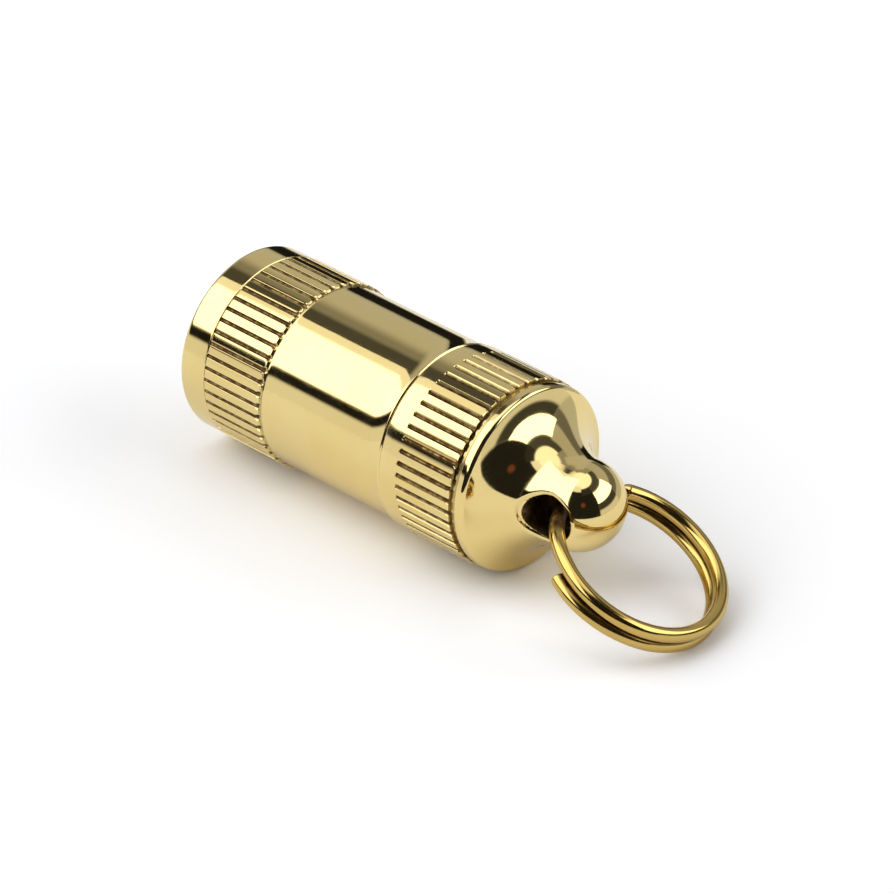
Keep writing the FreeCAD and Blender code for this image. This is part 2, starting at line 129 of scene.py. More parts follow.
# Split ring. Angles run round the wire from the hole, in degrees.
RING_MEAN_R = 7.19
RING_WIRE_R = 0.62
RING_LAYER = 0.635       # each turn's distance from the ring's middle plane
RING_TILT = 30.7
RING_HEADING = 18.0
RING_CENTRE_Y = 0.1
RING_PAST_HOLE = 0.35
RING_START = 73.0
RING_JOG_START = 322.0   # the wire crosses from the lower to the upper turn between these
RING_JOG_END = 432.0
RING_STOP = 684.0
RING_END_LIFT = 0.28     # the free end on the lower turn springs out by this much,
RING_END_BEND = 60.0     # over this angle
FREE_END_ROUND = 0.16
RING_TIP = 5.5           # the ground tip of the upper turn
TIP_GAP = 0.06
TIP_ROWS = 10
TIP_BLUNT_FROM = 7
HOLE_SHADE_START = 326.0      # the wire gets dark painted shade between these, where it runs in the hole
HOLE_SHADE_END = 411.0
RING_SIDES = 40
RING_STEPS = 520


# ---- outlines -----------------------------------------------------------------------------

def smooth_step(t):
    t = np.clip(t, 0.0, 1.0)
    return t * t * (3 - 2 * t)


def arc(cx, cr, radius, start, stop, steps):
    """Points (x, r) on a circle about (cx, cr), angles in degrees from +X."""
    angles = np.radians(np.linspace(start, stop, steps + 1))
    return [(cx + radius * math.cos(a), cr + radius * math.sin(a)) for a in angles]


def rounded(corners, steps=4):
    """A polyline (x, r, fillet) with each corner rounded by its fillet radius."""
    out = []
    for i, (x, r, fillet) in enumerate(corners):
        if fillet == 0 or i in (0, len(corners) - 1):
            out.append((x, r))
            continue
        here = Vector((x, r))
        back = (Vector(corners[i - 1][:2]) - here).normalized()
        ahead = (Vector(corners[i + 1][:2]) - here).normalized()
        half = math.acos(max(-1.0, min(1.0, back.dot(ahead)))) / 2
        reach = fillet / math.tan(half)
        centre = here + (back + ahead).normalized() * (fillet / math.sin(half))
        first = here + back * reach - centre
        last = here + ahead * reach - centre
        turn = first.angle_signed(last)
        for k in range(steps + 1):
            spoke = first.copy()
            spoke.rotate(Matrix.Rotation(-turn * k / steps, 2))
            out.append(tuple(centre + spoke))
    return out


def subdivided(points, step):
    """The same polyline with no run longer than step."""
    out = [points[0]]
    for (x0, r0), (x1, r1) in zip(points, points[1:]):
        pieces = max(1, math.ceil(math.hypot(x1 - x0, r1 - r0) / step))
        for k in range(1, pieces + 1):
            out.append((x0 + (x1 - x0) * k / pieces, r0 + (r1 - r0) * k / pieces))
    return out


def bell_fillet_centre():
    """Centre of the concave sweep that touches both the shoulder rounding and the knob."""
    shoulder_r = BEAD_R - SHOULDER_FILLET
    from_shoulder = SHOULDER_FILLET + BELL_FILLET
    from_knob = KNOB_R + BELL_FILLET
    dx = KNOB_X - SHOULDER_X
    dr = -shoulder_r
    span = math.hypot(dx, dr)
    along = (from_shoulder ** 2 - from_knob ** 2 + span ** 2) / (2 * span)
    aside = math.sqrt(from_shoulder ** 2 - along ** 2)
    x = SHOULDER_X + (along * dx - aside * dr) / span
    r = shoulder_r + (along * dr + aside * dx) / span
    return x, r


# ---- turned surfaces ------------------------------------------------------------------------

def flute_columns():
    """Angles round one grip, closer together where a flute's wall and edge are."""
    offsets = []
    for turn in (0, 25, 48, 68, 84):
        offsets.append(FLUTE_R * math.sin(math.radians(turn)))
    offsets += [FLUTE_R + 0.004, FLUTE_R + 0.018, FLUTE_R + LAND_ROUND, 0.3, 0.41]
    half = [math.degrees(s / LAND_R) for s in offsets]
    pitch = 360 / FLUTES
    one = sorted([-a for a in half[1:]] + half + [pitch / 2])
    return np.array([pitch * (i + 0.5) + a for i in range(FLUTES) for a in one])


def fluted(base, columns, turn, x, start, run_out):
    """Radii of one row of a grip: the base radius, less the flutes and their rounded edges."""
    pitch = 360 / FLUTES
    offset = (columns - turn) / pitch - 0.5
    side = np.abs(offset - np.round(offset)) * np.radians(pitch) * LAND_R
    side = side / (1 + 0.7 * float(smooth_step((x - run_out) / 0.35)))
    inside = np.clip(side / FLUTE_R, 0, 0.999)
    bottom = FLUTE_TOP - FLUTE_R * np.sqrt(1 - inside ** 2)
    edge = np.clip((side - FLUTE_R) / LAND_ROUND, 0, 1)
    lip = LAND_R - LAND_ROUND * (1 - np.sqrt(1 - (1 - edge) ** 2))
    cut = np.where(side < FLUTE_R, bottom, lip)
    ball = min(max(0.0, start - x) / FLUTE_R, 1.0)
    rise = (1 - math.sqrt(1 - ball ** 2)) * FLUTE_DEPTH * 1.3
    return np.minimum(base, cut + rise)


def thread_height(x, columns, half_root, height, start):
    """Height of a helical ridge over its wall, run in and out over a quarter turn."""
    turns = columns / 360.0
    along = (x - start) / PITCH - turns
    nearest = np.clip(np.round(along), 0, THREAD_TURNS - 1)
    off = np.abs(along - nearest) * PITCH
    slope = math.tan(math.radians(30))
    ridge = np.clip((half_root - off) / slope, 0, height)
    progress = nearest + turns
    fade = smooth_step(progress * 4) * smooth_step((THREAD_TURNS - progress) * 4)
    return ridge * fade


def grid_faces(first_row, rows, count):
    """Four-sided faces between neighbouring closed rows of equal length."""
    faces = []
    for i in range(rows - 1):
        a = first_row + i * count
        b = a + count
        for j in range(count):
            k = (j + 1) % count
            faces.append((a + j, b + j, b + k, a + k))
    return faces


def closed_tube(rows, count):
    """Faces of a tube of closed rows, with a many-sided face over each end."""
    faces = []
    for i in range(rows - 1):
        for j in range(count):
            k = (j + 1) % count
            faces.append((i * count + j, i * count + k, (i + 1) * count + k,
                          (i + 1) * count + j))
    faces.append(tuple(range(count))[::-1])
    faces.append(tuple(range((rows - 1) * count, rows * count)))
    return faces


class Turned:
    """Vertices and faces of one closed turned piece, built row by row."""

    def __init__(self):
        self.points = []
        self.faces = []
        self.wear = []
        self.painted_shade = []

    def rows(self, outline, angles, radii=None, wear=None, painted_shade=None):
        """Adds a strip of rows; radii(x, r) may vary the radius round the row."""
        start = len(self.points)
        a = np.radians(angles)
        for i, (x, r) in enumerate(outline):
            row = np.full(len(a), float(r)) if radii is None else radii(x, r)
            worn = np.zeros(len(a)) if wear is None else wear(x, row)
            self.points += list(zip(np.full(len(a), x), row * np.cos(a), row * np.sin(a)))
            self.wear += list(worn)
            self.painted_shade += list(np.zeros(len(a)) if painted_shade is None else painted_shade(x, row))
        count = len(angles)
        self.faces += grid_faces(start, len(outline), count)
        return start, start + (len(outline) - 1) * count

    def ring_face(self, outer, outer_count, inner, inner_count, outer_first=True):
        """Flat ring of many-sided faces between rows with different numbers of points."""
        per = outer_count // inner_count
        for j in range(inner_count):
            o = [outer + (j * per + k) % outer_count for k in range(per + 1)]
            i = [inner + (j + 1) % inner_count, inner + j]
            loop = o + i
            self.faces.append(tuple(loop if outer_first else loop[::-1]))

    def fan(self, row, count, x, outward=True):
        tip = len(self.points)
        self.points.append((x, 0.0, 0.0))
        self.wear.append(0.0)
        self.painted_shade.append(0.0)
        for j in range(count):
            k = (j + 1) % count
            self.faces.append((row + j, tip, row + k) if outward else (row + k, tip, row + j))

    def mesh(self, name, sharp):
        mesh = bpy.data.meshes.new(name)
        mesh.from_pydata([tuple(p) for p in self.points], [], self.faces)
        paint(mesh, "wear", self.wear)
        paint(mesh, "painted_shade", self.painted_shade)
        face_outwards(mesh)
        finish_mesh(mesh, sharp)
        return mesh


def paint(mesh, name, values):
    """Stores one number a vertex, which the finishes read by name."""
    layer = mesh.attributes.new(name, "FLOAT", "POINT")
    layer.data.foreach_set("value", np.array(values, dtype=np.float32))


def face_outwards(mesh):
    work = bmesh.new()
    work.from_mesh(mesh)
    bmesh.ops.recalc_face_normals(work, faces=work.faces)
    work.to_mesh(mesh)
    work.free()


def finish_mesh(mesh, sharp):
    """Smooth shading, with the edges over the given angle left sharp."""
    mesh.validate()
    mesh.shade_smooth()
    mesh.set_sharp_from_angle(angle=math.radians(sharp))
    mesh.update()


def place(mesh):
    """From the torch's own axis in millimetres to the frame in metres."""
    mesh.transform(Matrix.Translation((FRONT_X * MM, 0, AXIS_Z * MM)) @ Matrix.Scale(MM, 4))


def piece(name, mesh, body, nodes, material):
    """Puts a mesh in the scene, riding on its body in place of its CAD nodes."""
    obj = bpy.data.objects.new(name, mesh)
    bpy.context.scene.collection.objects.link(obj)
    mesh.materials.append(material)
    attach(obj, body)
    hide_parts(*nodes)
    return obj


def painted_groove_shade(x, row, start, end, most=1.0):
    """Painted shade below the lands, in the flutes and in the relief behind a grip."""
    if not start < x < end:
        return np.zeros(len(row))
    return smooth_step((LAND_R - 0.02 - row) / 0.09) * most


def edge_wear(x, row, places):
    """1 on the given corners, where the edges rub, down to 0 a little way off."""
    worn = np.zeros(len(row))
    for px, pr in places:
        gap = np.hypot(row - pr, x - px)
        worn = np.maximum(worn, 1 - smooth_step(gap / 0.09))
    return worn


FLUTED_ANGLES = flute_columns()
PLAIN_ANGLES = np.arange(192) * (360 / 192) + FLUTED_ANGLES[0]
BELL_ANGLES = np.arange(480) * (360 / 480) + FLUTED_ANGLES[0]


def body_tube_mesh():
    """Rim, front grip, barrel, neck with its thread, and the bore with its snap ring groove."""
    flare_r = (FLARE_LENGTH ** 2 + FLARE_RISE ** 2) / (2 * FLARE_RISE)
    flare_turn = math.degrees(math.asin(FLARE_LENGTH / flare_r))
    cove = LAND_R - BARREL_R + COVE_OVER_LAND
    cove_x = FRONT_GRIP_END + cove
    top = LAND_R + COVE_OVER_LAND
    cove_angle = math.degrees(math.acos(COVE_OVER_LAND / cove))
    flare_top = BARREL_R + FLARE_RISE
    outer = [(0.0, RIM_R - FRONT_EDGE)]
    outer += arc(FRONT_EDGE, RIM_R - FRONT_EDGE, FRONT_EDGE, 180, 90, 12)[1:]
    outer += rounded([
        (FRONT_EDGE + 0.1, RIM_R, 0),
        (RIM_END - 0.35, RIM_R, 0),
        (RIM_END - 0.2, RIM_R, 0.04),
        (RIM_END - 0.1, RIM_R - 0.15, 0.02),
        (RIM_END, LAND_R, 0.03),
        (RIM_END + 0.2, LAND_R, 0),
    ])
    outer += [(FRONT_GRIP_END - 0.6 + 0.06 * k, LAND_R) for k in range(6)]
    outer += rounded([
        (FRONT_GRIP_END - 0.2, LAND_R, 0),
        (FRONT_GRIP_END, LAND_R, 0.04),
        (FRONT_GRIP_END + 0.02, LAND_R - 0.06, 0),
    ])
    outer += arc(cove_x, top, cove, 270 - cove_angle + 22, 270, 8)
    outer += [(cove_x + 0.3, BARREL_R), (FLARE_START - 0.3, BARREL_R)]
    outer += arc(FLARE_START, BARREL_R + flare_r, flare_r, 270, 270 + flare_turn - 0.4, 10)
    outer += rounded([
        (FLARE_START + FLARE_LENGTH - 0.08, flare_top - 0.012, 0),
        (FLARE_START + FLARE_LENGTH, flare_top, 0.03),
        (SEAM, flare_top - 0.12, 0.03),
        (SEAM, flare_top - 0.2, 0),
    ])
    outer = subdivided(outer, 1.2)
    edges = [(0.12, RIM_R - 0.12), (RIM_END - 0.19, RIM_R), (RIM_END, LAND_R),
             (FRONT_GRIP_END, LAND_R), (FLARE_START + FLARE_LENGTH, flare_top)]

    def radii(x, r):
        if x < RIM_END - 0.12 or x > cove_x + 0.5:
            return np.full(len(FLUTED_ANGLES), float(r))
        return fluted(r, FLUTED_ANGLES, 0.0, x, RIM_END - 0.1, FRONT_GRIP_END - 0.3)

    # Painted shade in the front grip's flutes, lighter in the cove behind it.
    def painted_shade(x, row):
        most = 1.0 if x < FRONT_GRIP_END else 0.4
        return painted_groove_shade(x, row, RIM_END - 0.17, cove_x - 0.1, most)

    turned = Turned()
    first, last = turned.rows(outer, FLUTED_ANGLES, radii,
                              lambda x, row: edge_wear(x, row, edges), painted_shade)
    groove_start, groove_end, groove_r = O_RING_GROOVE
    chamfer_start, thread_start = NECK_CHAMFER
    neck = [(SEAM, NECK_R), (groove_start, NECK_R), (groove_start, groove_r),
            (groove_end, groove_r), (groove_end, NECK_R), (chamfer_start, NECK_R),
            (thread_start, NECK_ROOT_R)]
    thread_rows = np.arange(thread_start + 0.01, NECK_END - 0.15, THREAD_STEP)
    neck += [(x, NECK_ROOT_R) for x in thread_rows]
    neck += [(NECK_END - 0.14, NECK_ROOT_R), (NECK_END, NECK_ROOT_R - 0.15), (NECK_END, BORE_R)]
    bore = [(SNAP_GROOVE_END, BORE_R), (SNAP_GROOVE_END, SNAP_GROOVE_R),
            (SNAP_GROOVE_X, SNAP_GROOVE_R), (SNAP_GROOVE_X, BORE_R), (LIP, BORE_R),
            (LIP, APERTURE_R)]
    mouth = rounded([(LIP - 0.05, APERTURE_R, 0), (MOUTH_DEPTH, APERTURE_R, 0.15),
                     (0, MOUTH_R, 0.06), (0, MOUTH_R + 0.15, 0)], 5)

    def threaded(x, r):
        row = np.full(len(PLAIN_ANGLES), float(r))
        if r == NECK_ROOT_R and x > thread_start + 0.005:
            height = NECK_CREST_R - NECK_ROOT_R
            row += thread_height(x, PLAIN_ANGLES, NECK_RIDGE_HALF, height, THREAD_START)
        return row

    inner_first, inner_last = turned.rows(neck + bore + mouth, PLAIN_ANGLES, threaded)
    turned.ring_face(last, len(FLUTED_ANGLES), inner_first, len(PLAIN_ANGLES), False)
    turned.ring_face(first, len(FLUTED_ANGLES), inner_last, len(PLAIN_ANGLES), True)
    return turned.mesh("body_tube_shell", 32)


def hole_radius(y):
    """The cross hole's radius at a distance y beside the axis."""
    return HOLE_R + HOLE_FLARE_SLOPE * np.maximum(0, np.abs(y) - HOLE_FLARE_FROM)


def knob_press(x, y, z):
    """How far the surface sinks along its normal to round the cross hole's rim."""
    gap = np.hypot(x - KNOB_X, z) - hole_radius(y)
    t = np.clip(1 - gap / HOLE_ROUND, 0, 0.93)
    sink = HOLE_ROUND * (1 - np.sqrt(1 - t ** 2))
    return np.where(np.abs(y) > 0.8, sink, 0.0)


def tail_cap_mesh():
    """Collar, tail grip, bead, bell and drilled knob, with the cap's thread and pocket inside."""
    fx, fr = bell_fillet_centre()
    shoulder_r = BEAD_R - SHOULDER_FILLET
    to_fillet = math.degrees(math.atan2(fr - shoulder_r, fx - SHOULDER_X))
    back = to_fillet + 180
    to_knob = math.degrees(math.atan2(fr, fx - KNOB_X))
    front = SEAM + SEAM_GAP
    end = TAIL_GRIP_END + 0.06
    grip = rounded([
        (front, LAND_R - 0.3, 0),
        (front, LAND_R - 0.12, 0.03),
        (front + 0.14, LAND_R, 0.06),
        (TAIL_GRIP_START - 0.4, LAND_R, 0),
    ])
    grip += [(TAIL_GRIP_START - 0.2 + 0.03 * k, LAND_R) for k in range(9)]
    grip += [(end - 0.6 + 0.06 * k, LAND_R) for k in range(8)]
    grip += rounded([
        (end - 0.12, LAND_R, 0),
        (end, LAND_R, 0.04),
        (end, LAND_R - 0.28, 0),
    ])
    grip = subdivided(grip, 1.2)
    edges = [(front + 0.14, LAND_R), (end, LAND_R)]

    def radii(x, r):
        if x < TAIL_GRIP_START - 0.3:
            return np.full(len(FLUTED_ANGLES), float(r))
        return fluted(r, FLUTED_ANGLES, TAIL_FLUTE_TURN, x, TAIL_GRIP_START, end - 0.3)

    turned = Turned()
    # The tail grip's flutes get painted shade.
    first, last = turned.rows(grip, FLUTED_ANGLES, radii,
                              lambda x, row: edge_wear(x, row, edges),
                              lambda x, row: painted_groove_shade(x, row, front + 1, BEAD_START))

    bell = rounded([
        (end, LAND_R - 0.3, 0),
        (BEAD_START - 0.14, LAND_R - 0.3, 0.06),
        (BEAD_START, BEAD_R, 0.08),
        (BEAD_START + 0.15, BEAD_R, 0),
    ], 5)
    bell += arc(SHOULDER_X, shoulder_r, SHOULDER_FILLET, 90, to_fillet, 26)
    bell += arc(fx, fr, BELL_FILLET, back, 180 + to_knob, 92)[1:]
    bell += arc(KNOB_X, 0, KNOB_R, to_knob, 1.2, 72)[1:]
    # The relief groove before the bead gets a lighter painted shade.
    bell_first, bell_last = turned.rows(
        bell, BELL_ANGLES, None,
        lambda x, row: edge_wear(x, row, [(BEAD_START, BEAD_R)]),
        lambda x, row: painted_groove_shade(x, row, 0, BEAD_START - 0.03, 0.45))
    turned.ring_face(last, len(FLUTED_ANGLES), bell_first, len(BELL_ANGLES), False)
    turned.fan(bell_last, len(BELL_ANGLES), KNOB_X + KNOB_R, False)

    # The rim of the cross hole is rounded before the hole is cut.
    for i in range(bell_first, bell_last + len(BELL_ANGLES)):
        x, y, z = turned.points[i]
        sink = float(knob_press(x, y, z))
        if sink > 0:
            if x > KNOB_X:
                normal = Vector((x - KNOB_X, y, z)).normalized()
            else:
                r = math.hypot(y, z)
                slope = Vector((fx - x, fr - r)).normalized()
                normal = Vector((slope.x, slope.y * y / r, slope.y * z / r))
            p = Vector((x, y, z)) - normal * sink
            turned.points[i] = tuple(p)
            turned.wear[i] = float(smooth_step(sink / HOLE_ROUND * 3)) * 0.6

    inner = [(front, COUNTERBORE_R), (COUNTERBORE_END, COUNTERBORE_R),
             (CAP_THREAD_START, CAP_ROOT_R)]
    thread_rows = np.arange(CAP_THREAD_START + 0.02, CAP_FLOOR - 0.03, THREAD_STEP)
    inner += [(x, CAP_ROOT_R) for x in thread_rows]
    inner += [(CAP_FLOOR, CAP_ROOT_R), (CAP_FLOOR, POCKET_R), (POCKET_END, POCKET_R)]
    inner += [(POCKET_END, 0.8)]

    def threaded(x, r):
        row = np.full(len(PLAIN_ANGLES), float(r))
        if r == CAP_ROOT_R and CAP_THREAD_START + 0.01 < x < CAP_FLOOR - 0.01:
            height = CAP_ROOT_R - CAP_CREST_R
            row -= thread_height(x, PLAIN_ANGLES, CAP_RIDGE_HALF, height,
                                 THREAD_START + PITCH / 2)
        return row

    inner_first, inner_last = turned.rows(inner, PLAIN_ANGLES, threaded)
    turned.ring_face(first, len(FLUTED_ANGLES), inner_first, len(PLAIN_ANGLES), True)
    turned.fan(inner_last, len(PLAIN_ANGLES), POCKET_END, True)
    return drilled(turned.mesh("tail_cap_solid", 30))


def drilled(mesh):
    """Cuts the cross hole with a fine bar along Y that widens towards both ends."""
    solid = bpy.data.objects.new("solid", mesh)
    columns = 192
    points = []
    stations = (-HOLE_BAR_REACH, -HOLE_FLARE_FROM, HOLE_FLARE_FROM, HOLE_BAR_REACH)
    for y in stations:
        radius = float(hole_radius(y))
        for j in range(columns):
            a = 2 * math.pi * (j + 0.5) / columns
            points.append((KNOB_X + radius * math.cos(a), y, radius * math.sin(a)))
    faces = closed_tube(len(stations), columns)
    bar_mesh = bpy.data.meshes.new("bar")
    bar_mesh.from_pydata(points, [], faces)
    face_outwards(bar_mesh)
    bar = bpy.data.objects.new("bar", bar_mesh)
    for obj in (solid, bar):
        bpy.context.scene.collection.objects.link(obj)
    cut = solid.modifiers.new("hole", "BOOLEAN")
    cut.operation = "DIFFERENCE"
    cut.solver = "EXACT"
    cut.object = bar
    depsgraph = bpy.context.evaluated_depsgraph_get()
    result = bpy.data.meshes.new_from_object(solid.evaluated_get(depsgraph),
                                             preserve_all_data_layers=True,
                                             depsgraph=depsgraph)
    for obj in (solid, bar):
        bpy.data.objects.remove(obj)
    where = np.empty(len(result.vertices) * 3)
    result.vertices.foreach_get("co", where)
    x, y, z = where.reshape(-1, 3).T
    # The cross hole's wall is painted fully dark: painted shade inside the hole.
    on_wall = (np.hypot(x - KNOB_X, z) < hole_radius(y) + 0.004) & (np.abs(y) < 5)
    painted_shade = np.empty(len(x))
    result.attributes["painted_shade"].data.foreach_get("value", painted_shade)
    result.attributes["painted_shade"].data.foreach_set("value", np.where(on_wall, 1.0, painted_shade))
    finish_mesh(result, 30)
    return result


# ---- split ring -----------------------------------------------------------------------------

def ring_point(degrees):
    """The wire's centre line: lower turn, a slanting cross-over in the hole, upper turn."""
    tilt = math.radians(RING_TILT)
    axis = ring_axis()
    drop = RING_MEAN_R * math.sin(tilt) + RING_LAYER * math.cos(tilt) + RING_WIRE_R
    z = drop - LAND_R
    x = KNOB_X + math.sqrt((RING_MEAN_R - RING_PAST_HOLE) ** 2 - z ** 2)
    centre = Vector((x, RING_CENTRE_Y, z))
    to_hole = Vector((KNOB_X, 0, 0)) - centre
    to_hole = (to_hole - axis * to_hole.dot(axis)).normalized()
    across = axis.cross(to_hole)
    a = math.radians(degrees)
    jog = float(smooth_step((degrees - RING_JOG_START) / (RING_JOG_END - RING_JOG_START)))
    layer = RING_LAYER * (2 * jog - 1)
    spring_out = RING_END_LIFT * float(
        smooth_step((RING_START + RING_END_BEND - degrees) / RING_END_BEND))
    radius = RING_MEAN_R + spring_out
    return centre + (to_hole * math.cos(a) + across * math.sin(a)) * radius + axis * layer


def ring_axis():
    """The ring's axis, leaning towards its heading."""
    tilt = math.radians(RING_TILT)
    heading = math.radians(RING_HEADING)
    return Vector((math.sin(tilt) * math.cos(heading), math.sin(tilt) * math.sin(heading),
                   math.cos(tilt)))


def end_profile(rounding):
    """Insets and radii from the cut end's flat to the full wire."""
    out = []
    for k in range(7):
        a = math.radians(90 * k / 6)
        out.append((rounding * (1 - math.cos(a)), RING_WIRE_R - rounding * (1 - math.sin(a))))
    return out


def ground_tip(centre):
    """The upper turn's end is ground thin on its inner side, where it lies against the knob."""
    away = centre - Vector((KNOB_X, 0, 0))
    clear = away.length - KNOB_R - RING_WIRE_R
    shave = max(0.0, (TIP_GAP - clear) / 2)
    return centre + away.normalized() * shave, RING_WIRE_R - shave


def ring_rows():
    """Centre, heading, radius and angle of each round row along the wire."""
    steps = RING_STEPS
    span = RING_STOP - RING_START
    line = [ring_point(RING_START + span * i / steps) for i in range(steps + 1)]
    heads = [(line[min(i + 1, steps)] - line[max(i - 1, 0)]).normalized()
             for i in range(steps + 1)]
    rows = []
    for inset, radius in end_profile(FREE_END_ROUND):
        rows.append((line[0] + heads[0] * inset, heads[0], radius, RING_START))
    for i in range(1, steps + 1):
        # The free end's rounding takes the first 2 degrees.
        if i * span / steps > 2:
            centre, radius = line[i], RING_WIRE_R
            if RING_START + span * i / steps > RING_STOP - 8:
                centre, radius = ground_tip(line[i])
            rows.append((centre, heads[i], radius, RING_START + span * i / steps))
    for k in range(1, TIP_ROWS + 1):
        degrees = RING_STOP + RING_TIP * k / TIP_ROWS
        point = ring_point(degrees)
        centre, radius = ground_tip(point)
        blunt = max(0.0, (k - TIP_BLUNT_FROM) / (TIP_ROWS - TIP_BLUNT_FROM))
        head = (point - ring_point(degrees - 0.3)).normalized()
        rows.append((centre, head, radius * math.sqrt(1 - 0.9 * blunt ** 2), degrees))
    return rows


def split_ring_mesh():
    """A round wire swept along the centre line, with its free end rounded."""
    rows = ring_rows()
    side = rows[0][1].orthogonal().normalized()
    points = []
    wear = []
    painted_shade = []
    axis = ring_axis()
    for centre, head, radius, degrees in rows:
        side = (side - head * side.dot(head)).normalized()
        up = head.cross(side)
        other = 1.0 if degrees < (RING_JOG_START + RING_JOG_END) / 2 else -1.0
        # Painted shade on the side of each turn that faces the other turn, except where the wire
        # runs alone, and on the wire inside the hole.
        alone = float(smooth_step((degrees - RING_JOG_START + 10) / 20)
                      * smooth_step((RING_JOG_END + 10 - degrees) / 20))
        in_hole = float(smooth_step((degrees - HOLE_SHADE_START) / 12)
                        * smooth_step((HOLE_SHADE_END - degrees) / 9))
        for j in range(RING_SIDES):
            a = 2 * math.pi * j / RING_SIDES
            out = side * math.cos(a) + up * math.sin(a)
            points.append(tuple(centre + out * radius))
            wear.append(1.0 if radius < RING_WIRE_R - 0.01 and degrees < 90 else 0.0)
            facing = float(smooth_step((out.dot(axis) * other - 0.72) / 0.22))
            painted_shade.append(max(facing * (1 - alone), in_hole))
    mesh = bpy.data.meshes.new("split_ring_wire")
    mesh.from_pydata(points, [], closed_tube(len(rows), RING_SIDES))
    paint(mesh, "wear", wear)
    paint(mesh, "painted_shade", painted_shade)
    face_outwards(mesh)
    finish_mesh(mesh, 50)
    return mesh


# ---- materials ------------------------------------------------------------------------------

class Nodes:
    """Short names for the shader nodes that the materials share."""

    def __init__(self, tree):
        self.tree = tree

    def add(self, kind, **settings):
        node = self.tree.nodes.new(kind)
        for key, value in settings.items():
            setattr(node, key, value)
        return node

    def put(self, socket, value):
        if isinstance(value, bpy.types.NodeSocket):
            self.tree.links.new(value, socket)
        else:
            socket.default_value = value

    def math(self, operation, a, b=0.0):
        node = self.add("ShaderNodeMath", operation=operation)
        for socket, value in zip(node.inputs, (a, b)):
            self.put(socket, value)
        return node.outputs[0]

    def remap(self, value, low, high, to_low=0.0, to_high=1.0):
        """A smooth step from to_low to to_high as value goes from low to high."""
        node = self.add("ShaderNodeMapRange", interpolation_type="SMOOTHSTEP")
        for socket, v in zip(node.inputs, (value, low, high, to_low, to_high)):
            self.put(socket, v)
        return node.outputs[0]

    def mix(self, factor, a, b):
        node = self.add("ShaderNodeMix", data_type="RGBA")
        self.put(node.inputs[0], factor)
        self.put(node.inputs[6], a)
        self.put(node.inputs[7], b)
        return node.outputs[2]

    def place(self, scale=(1, 1, 1)):
        """The point in millimetres in the part's own frame, stretched by scale."""
        coordinates = self.add("ShaderNodeTexCoord")
        mapping = self.add("ShaderNodeMapping")
        self.put(mapping.inputs["Vector"], coordinates.outputs["Object"])
        mapping.inputs["Scale"].default_value = [s / MM for s in scale]
        return mapping.outputs[0]

    def noise(self, scale, detail=3.0, stretch=(1, 1, 1), rough=0.55):
        node = self.add("ShaderNodeTexNoise")
        self.put(node.inputs["Vector"], self.place(stretch))
        node.inputs["Scale"].default_value = scale
        node.inputs["Detail"].default_value = detail
        node.inputs["Roughness"].default_value = rough
        return node.outputs[0]

    def bump(self, height, distance, normal=None):
        """A bump of the given height in millimetres."""
        node = self.add("ShaderNodeBump")
        self.put(node.inputs["Height"], height)
        node.inputs["Distance"].default_value = distance * MM
        node.inputs["Strength"].default_value = 1.0
        if normal is not None:
            self.put(node.inputs["Normal"], normal)
        return node.outputs[0]


def new_material(name, kind="ShaderNodeBsdfPrincipled"):
    """An empty material with one shader."""
    material = bpy.data.materials.new(name)
    material.use_nodes = True
    material.node_tree.nodes.clear()
    nodes = Nodes(material.node_tree)
    output = nodes.add("ShaderNodeOutputMaterial")
    shader = nodes.add(kind)
    nodes.put(output.inputs[0], shader.outputs[0])
    return material, nodes, shader


def surface(name, colour, rough, metallic, vary, grain, bump=0.002):
    """Colour clouded by noise, with roughness and a fine bump from noise too."""
    material, nodes, shader = new_material(name)
    dark = tuple(c * (1 - vary) for c in colour) + (1,)
    light = tuple(min(1.0, c * (1 + vary)) for c in colour) + (1,)
    cloud = nodes.remap(nodes.noise(grain, 4.0), 0.35, 0.65)
    nodes.put(shader.inputs["Base Color"], nodes.mix(cloud, dark, light))
    nodes.put(shader.inputs["Roughness"],
              nodes.remap(nodes.noise(grain * 2.3, 3.0), 0.3, 0.7, rough * 0.8, rough * 1.25))
    shader.inputs["Metallic"].default_value = metallic
    nodes.put(shader.inputs["Normal"], nodes.bump(nodes.noise(grain * 6, 3.0), bump))
    return material, nodes, shader


# Dark brown of the painted shade in the grooves, the cross hole and between the ring's turns.
SHADE_BROWN = (0.06, 0.026, 0.009, 1)

# Plain finishes: colour, roughness, metallic, how much the colour varies, noise scale, bump.
SURFACES = {
    "seal_rubber": ((0.02, 0.02, 0.022), 0.55, 0.0, 0.3, 4.0, 0.004),
    "reflector_mirror": ((0.90, 0.91, 0.92), 0.05, 1.0, 0.02, 1.0, 0.0006),
    "led_ceramic": ((0.86, 0.85, 0.80), 0.5, 0.0, 0.05, 3.0),
    "led_phosphor": ((0.90, 0.72, 0.08), 0.65, 0.0, 0.12, 9.0),
    "gilt_copper": ((0.95, 0.68, 0.28), 0.2, 1.0, 0.08, 2.0, 0.001),
    "contact_brass": ((0.80, 0.62, 0.30), 0.24, 1.0, 0.10, 2.0, 0.001),
    "resistor_body": ((0.02, 0.02, 0.025), 0.3, 0.0, 0.3, 6.0),
    "solder": ((0.72, 0.73, 0.74), 0.3, 1.0, 0.1, 5.0),
    "spring_steel": ((0.58, 0.57, 0.55), 0.25, 1.0, 0.1, 4.0),
    "sleeve_plastic": ((0.80, 0.79, 0.74), 0.45, 0.0, 0.06, 1.5),
    "bush_plastic": ((0.10, 0.10, 0.10), 0.4, 0.0, 0.2, 3.0),
    "cell_can": ((0.62, 0.62, 0.60), 0.22, 1.0, 0.06, 1.2, 0.001),
    "cell_seal": ((0.05, 0.07, 0.05), 0.5, 0.0, 0.2, 4.0),
    "cell_cap": ((0.66, 0.66, 0.65), 0.2, 1.0, 0.05, 1.0, 0.001),
}


